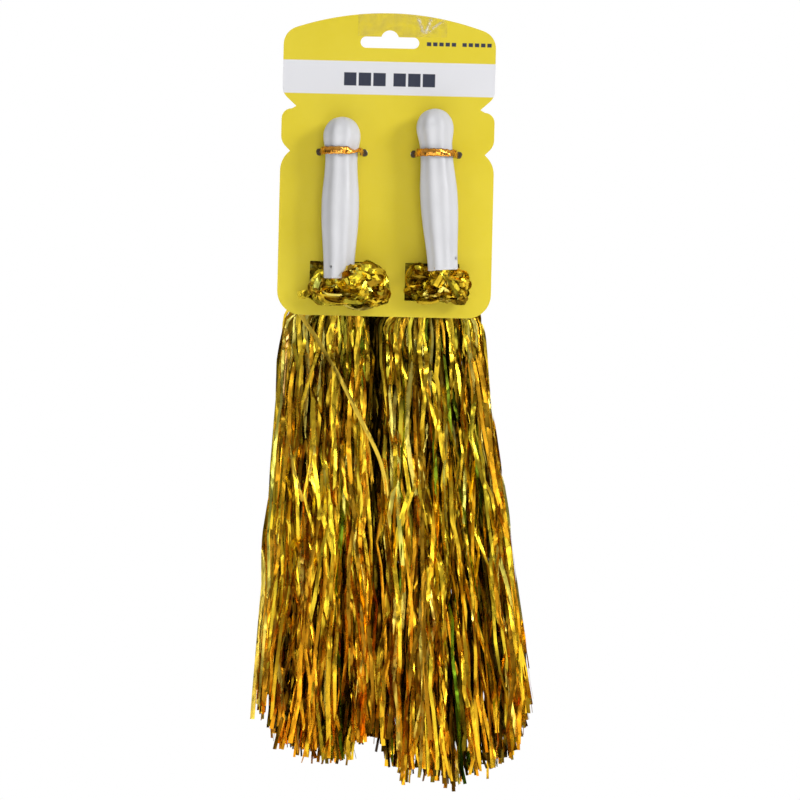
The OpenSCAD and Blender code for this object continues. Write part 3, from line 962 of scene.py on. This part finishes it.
def backing_and_hole_shade_material():
    """The dark paper side of the ties, also used as painted shade in the card's tie holes."""
    mat, nodes, links, shader = new_material("tie_backing_and_hole_shade", 0.55)
    patches = remap(nodes, links, object_noise(nodes, links, 700, 3), 0, 1)
    paint(nodes, links, shader, patches, (0.035, 0.022, 0.01), (0.09, 0.06, 0.03))
    bump(nodes, links, shader, ((object_noise(nodes, links, 1500, 2), 0.3, 0.1 * MM),))
    return mat


def handle_material():
    """White moulded plastic, a little uneven."""
    mat, nodes, links, shader = new_material("white_plastic", 0.38)
    shader.inputs["Subsurface Weight"].default_value = 0.12
    shader.inputs["Subsurface Radius"].default_value = (1, 1, 1)
    shader.inputs["Subsurface Scale"].default_value = 1.5 * MM
    clouds = remap(nodes, links, object_noise(nodes, links, 60, 4), 0, 1)
    paint(nodes, links, shader, clouds, (0.61, 0.61, 0.63), (0.66, 0.66, 0.68))
    dull = remap(nodes, links, object_noise(nodes, links, 150, 3), 0.3, 0.46)
    links.new(dull, shader.inputs["Roughness"])
    bump(nodes, links, shader, (
        (object_noise(nodes, links, 120, 2), 0.25, 0.3 * MM),
        (object_noise(nodes, links, 2600, 2), 0.15, 0.03 * MM),
    ))
    return mat


def steel_material():
    """Drawn wire and cut pin ends."""
    mat, nodes, links, shader = new_material("steel_wire", 0.32, metallic=1.0)
    stain = remap(nodes, links, object_noise(nodes, links, 900, 3), 0, 1)
    paint(nodes, links, shader, stain, (0.36, 0.36, 0.37), (0.6, 0.6, 0.62))
    bump(nodes, links, shader, ((object_noise(nodes, links, 3000, 2, (1, 1, 0.1)), 0.3, 0.05 * MM),))
    return mat


def inside(nodes, links, coordinate, low, high, soft):
    """1 where the coordinate is between low and high, with soft edges."""
    rise = remap(nodes, links, coordinate, 0, 1, low - soft, low + soft)
    fall = remap(nodes, links, coordinate, 1, 0, high - soft, high + soft)
    return math_node(nodes, links, "MULTIPLY", rise, fall)


CARD_MARKS = tuple(
    # plain blocks in place of print: left, right, low and high edges in millimetres
    [(x, x + 6.8, -25.7, -18.5) for x in (-24.6, -16.6, -8.6, 2.4, 10.4, 18.4)]
    + [(x, x + 2.4, -3.2, -1.1) for x in (20.2, 23.6, 27.0, 30.4, 33.8, 39.6, 43.0, 46.4, 49.8, 53.2)]
)
BAND_LOW, BAND_HIGH = -30.4 * MM, -12.3 * MM
PRINT_EDGE = 0.12 * MM      # half the width of the marks' soft edges


def card_material():
    """Printed board: yellow with a pale band and dark marks in front, bare fibres at the back."""
    mat, nodes, links, shader = new_material("printed_board", 0.62)
    shader.inputs["Specular IOR Level"].default_value = 0.3
    x, y, z = object_xyz(nodes, links)
    grain = object_noise(nodes, links, 1500, 3)
    clouds = remap(nodes, links, object_noise(nodes, links, 22, 3), 0, 1)
    yellow = blend_colour(nodes, links, clouds, (0.69, 0.55, 0.022), (0.74, 0.60, 0.036))
    band = inside(nodes, links, z, BAND_LOW, BAND_HIGH, 0.15 * MM)
    print_colour = blend_colour(nodes, links, band, yellow, (0.72, 0.72, 0.75))
    marks = None
    for left, right, low, high in CARD_MARKS:
        across = inside(nodes, links, x, left * MM, right * MM, PRINT_EDGE)
        up = inside(nodes, links, z, low * MM, high * MM, PRINT_EDGE)
        mark = math_node(nodes, links, "MULTIPLY", across, up)
        marks = mark if marks is None else math_node(nodes, links, "MAXIMUM", marks, mark)
    print_colour = blend_colour(nodes, links, marks, print_colour, (0.03, 0.035, 0.06))
    fibres = remap(nodes, links, grain, 0, 1)
    board = blend_colour(nodes, links, fibres, (0.52, 0.50, 0.46), (0.64, 0.62, 0.58))
    printed = remap(nodes, links, y, 1, 0, CARD_FRONT + 0.02 * MM, CARD_FRONT + 0.08 * MM)
    paint(nodes, links, shader, printed, board, print_colour)
    dull = remap(nodes, links, object_noise(nodes, links, 300, 3), 0.5, 0.7)
    links.new(dull, shader.inputs["Roughness"])
    warp = object_noise(nodes, links, 12, 2)
    bump(nodes, links, shader, ((grain, 0.12, 0.08 * MM), (warp, 0.3, 0.8 * MM)))
    return mat


def streak(nodes, links, x, z, foot, top, width):
    """1 along the straight line from foot to top, in metres, fading out to the sides."""
    slope = (top[0] - foot[0]) / (top[1] - foot[1])
    line = math_node(nodes, links, "MULTIPLY_ADD", z, slope, foot[0] - slope * foot[1])
    off = math_node(nodes, links, "ABSOLUTE", math_node(nodes, links, "SUBTRACT", x, line))
    near = remap(nodes, links, off, 1, 0, 0, width)
    return math_node(nodes, links, "MULTIPLY", near, inside(nodes, links, z, foot[1], top[1], 1.5 * MM))


TAPE_CREASES = (
    # foot and top of each whitish crease, X and Z in metres
    ((0.0185, 0.0035), (0.0150, 0.0125)),
    ((0.0195, 0.0035), (0.0285, 0.0105)),
    ((0.0190, 0.0035), (0.0225, 0.0120)),
)
CREASE_W = 1.9 * MM


def tape_material():
    """Clear film, hazy in patches, with whitish creases where it is torn."""
    mat, nodes, links, shader = new_material("clear_film", 0.14)
    x, _, z = object_xyz(nodes, links)
    creases = None
    for foot, top in TAPE_CREASES:
        one = streak(nodes, links, x, z, foot, top, CREASE_W)
        creases = one if creases is None else math_node(nodes, links, "MAXIMUM", creases, one)
    patches = remap(nodes, links, object_noise(nodes, links, 700, 3), 0.1, 0.9)
    torn = math_node(nodes, links, "MULTIPLY", creases, patches)
    paint(nodes, links, shader, torn, (0.72, 0.60, 0.18), (0.92, 0.91, 0.85))
    haze = remap(nodes, links, object_noise(nodes, links, 200, 3), 0.0, 0.16)
    alpha = math_node(nodes, links, "MAXIMUM", haze, math_node(nodes, links, "MULTIPLY", torn, 0.85))
    links.new(alpha, shader.inputs["Alpha"])
    waves = object_noise(nodes, links, 140, 3)
    bump(nodes, links, shader, ((waves, 0.4, 0.4 * MM), (creases, 0.6, 0.5 * MM)))
    return mat


def floor_material():
    """Pale and slightly lit from within, so that the object's shadow on it stays faint."""
    mat, nodes, links, shader = new_material("pale_floor", 0.7)
    clouds = object_noise(nodes, links, 3, 2)
    paint(nodes, links, shader, clouds, (0.90, 0.90, 0.90), (0.94, 0.94, 0.94))
    shader.inputs["Emission Color"].default_value = (1, 1, 1, 1)
    shader.inputs["Emission Strength"].default_value = 0.55
    return mat


# ------------------------------------------------------------------ camera, light, floor

VIEW_W = 437 * MM           # what the picture's width covers
VIEW_CENTRE = Vector((10.1, 0, -196.8)) * MM
ROLL = math.radians(1.35)   # the object hangs a little askew in the picture
FLOOR_DROP = 120 * MM
FLOOR_R = 0.9


def make_camera():
    """A long lens straight in front, at the height of the object's middle."""
    data = bpy.data.cameras.new("camera")
    data.lens = 180
    data.sensor_width = 36
    data.clip_start = 0.01
    data.clip_end = 100
    camera = link("camera", data)
    distance = VIEW_W * data.lens / data.sensor_width
    right = Vector((math.cos(ROLL), 0, math.sin(ROLL)))
    up = Vector((-math.sin(ROLL), 0, math.cos(ROLL)))
    turn = Matrix((right, up, Vector((0, -1, 0)))).transposed()
    camera.matrix_world = Matrix.Translation(VIEW_CENTRE + Vector((0, -distance, 0))) @ turn.to_4x4()
    bpy.context.scene.camera = camera


def area_light(name, place, target, size, power):
    """A soft rectangular light at a place, turned towards the target. Sizes in metres, power in watts."""
    data = bpy.data.lights.new(name, "AREA")
    data.shape = "RECTANGLE"
    data.size, data.size_y = size
    data.energy = power
    lamp = link(name, data)
    lamp.location = place
    lamp.rotation_euler = (Vector(target) - Vector(place)).to_track_quat("-Z", "Y").to_euler()


def make_lights():
    middle = Vector((0, 0, -0.2))
    area_light("key", middle + Vector((1.4, -1.18, 0.8)), middle, (0.6, 0.6), 18)
    area_light("fill", middle + Vector((-1.4, -1.9, -0.5)), middle, (1.0, 1.5), 6)
    area_light("front", middle + Vector((0.4, -2.5, -0.4)), middle, (0.9, 1.4), 13)
    area_light("low", middle + Vector((0.5, -1.7, -1.3)), middle, (1.2, 0.5), 7)
    area_light("top", middle + Vector((0.3, -1.6, 1.6)), middle, (1.1, 0.5), 6)
    area_light("back_right", middle + Vector((0.8, 1.3, 0.5)), middle, (0.6, 0.8), 9)
    area_light("back_left", middle + Vector((-1.1, 1.2, 0.3)), middle, (0.6, 0.8), 6)


def make_world():
    """White as seen by the camera. As a light it is bright above and dimmer towards the front."""
    world = bpy.data.worlds.new("studio")
    bpy.context.scene.world = world
    world.use_nodes = True
    nodes, links = world.node_tree.nodes, world.node_tree.links
    background = nodes["Background"]
    place = nodes.new("ShaderNodeTexCoord")
    split = nodes.new("ShaderNodeSeparateXYZ")
    links.new(place.outputs["Generated"], split.inputs[0])
    height = remap(nodes, links, split.outputs[2], 0.03, 0.5, -0.12, 0.6)
    ray = nodes.new("ShaderNodeLightPath")
    seen = math_node(nodes, links, "MAXIMUM", height, ray.outputs["Is Camera Ray"])
    links.new(seen, background.inputs["Strength"])
    background.inputs["Color"].default_value = (1, 1, 1, 1)


def make_floor():
    """A round pale floor, well below the tips."""
    z = CAD_BOX[0][2] - FLOOR_DROP
    turns = np.linspace(0, 2 * math.pi, 96, endpoint=False)
    rim = [(FLOOR_R * math.cos(a), FLOOR_R * math.sin(a), z) for a in turns]
    mesh_object("floor", rim, [tuple(range(96))], floor_material())


# ------------------------------------------------------------------ the whole object

def finish_node(node, material):
    """Gives a CAD node its material."""
    obj = frame["nodes"][node]
    obj.data.materials.clear()
    obj.data.materials.append(material)


def main():
    make_camera()
    make_lights()
    make_world()
    make_floor()
    bpy.context.scene.view_settings.view_transform = "Standard"
    foil, copper, plastic = foil_material(), tie_material(), handle_material()
    steel, backing_and_hole_shade = steel_material(), backing_and_hole_shade_material()
    finish_node("header_card", card_material())
    finish_node("hang_tape", tape_material())
    for side in SIDES:
        rng = random.Random(f"{side} pom pom")
        for part in ("tie_wire", "retaining_pin", "root_binding"):
            finish_node(f"{side}_{part}", steel)
        make_handle(side, plastic)
        make_root(side, rng, foil)
        make_bunch(side, rng, foil)
        make_tie(side, rng, copper, backing_and_hole_shade)
        tassel = Tassel(side)
        make_neck(tassel, rng, foil)
        for i in range(1, LOCKS + 1):
            make_lock(tassel, i, rng, foil)


main()
